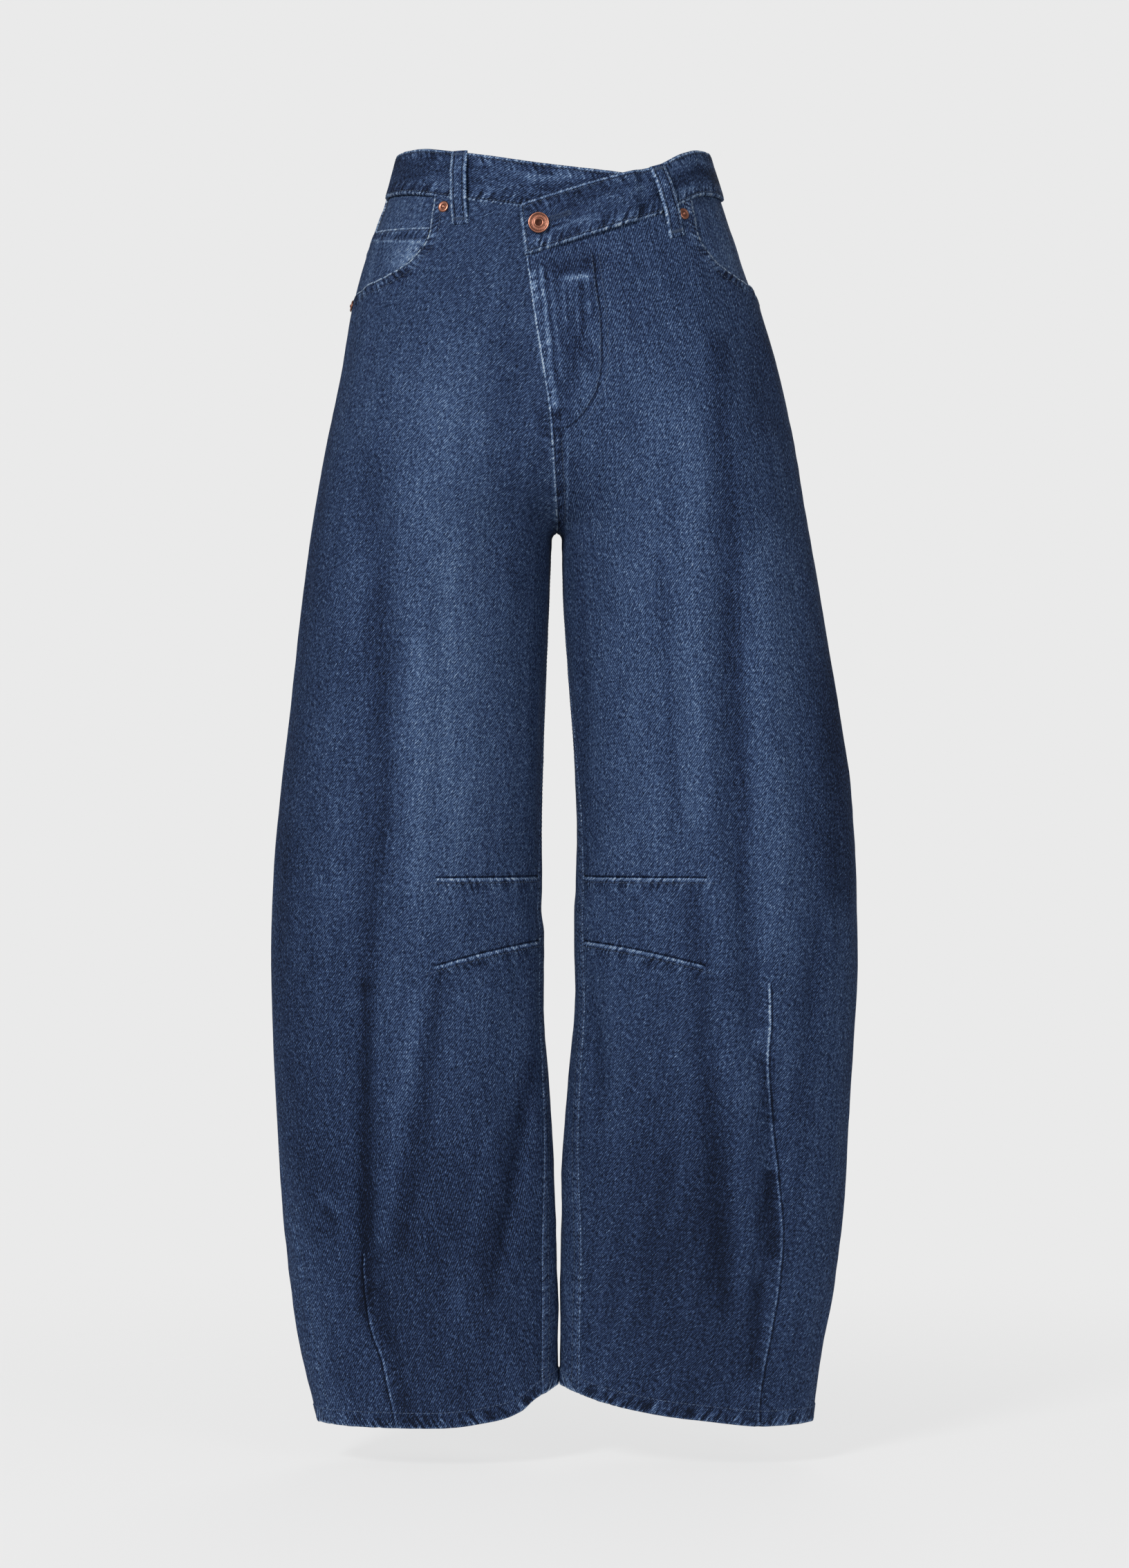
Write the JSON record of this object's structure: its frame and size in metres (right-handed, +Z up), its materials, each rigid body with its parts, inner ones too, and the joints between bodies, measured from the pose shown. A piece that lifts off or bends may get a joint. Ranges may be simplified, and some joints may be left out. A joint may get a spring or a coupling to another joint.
{
  "type": "wide-leg jeans",
  "caption": "High-waisted jeans with curved barrel legs, a crossover waistband fastened off centre, knee darts and round front pockets, hollow as worn.",
  "frame": {"origin": "middle of the waist, at the height of the waistband's top edge at the sides", "axes": "+Z up towards the waist from the hems, -Y out of the front, +X towards the wearer's left"},
  "size_m": [0.4827, 0.2366, 1.0399],
  "materials": {
    "denim": "matte twill, mid blue",
    "denim_worn": "matte twill, faded",
    "denim_dark": "matte twill, dark",
    "copper": "copper-coloured, worn satin"
  },
  "bodies": {
    "root": {"waistband": "denim_dark", "front_right": "denim", "front_left": "denim", "back_right": "denim", "back_left": "denim", "yoke_right": "denim_dark", "yoke_left": "denim_dark", "pocket_facing_right": "denim_worn", "pocket_facing_left": "denim_worn", "back_pocket_right": "denim_worn", "back_pocket_left": "denim_worn", "coin_pocket": "denim_worn", "belt_loop_front_right": "denim_worn", "belt_loop_front_left": "denim_worn", "belt_loop_back_right": "denim_worn", "belt_loop_back_left": "denim_worn", "belt_loop_centre_back": "denim_worn", "button": "copper", "rivet_mouth_right": "copper", "rivet_mouth_left": "copper", "rivet_side_right": "copper", "rivet_side_left": "copper"}
  },
  "joints": []
}
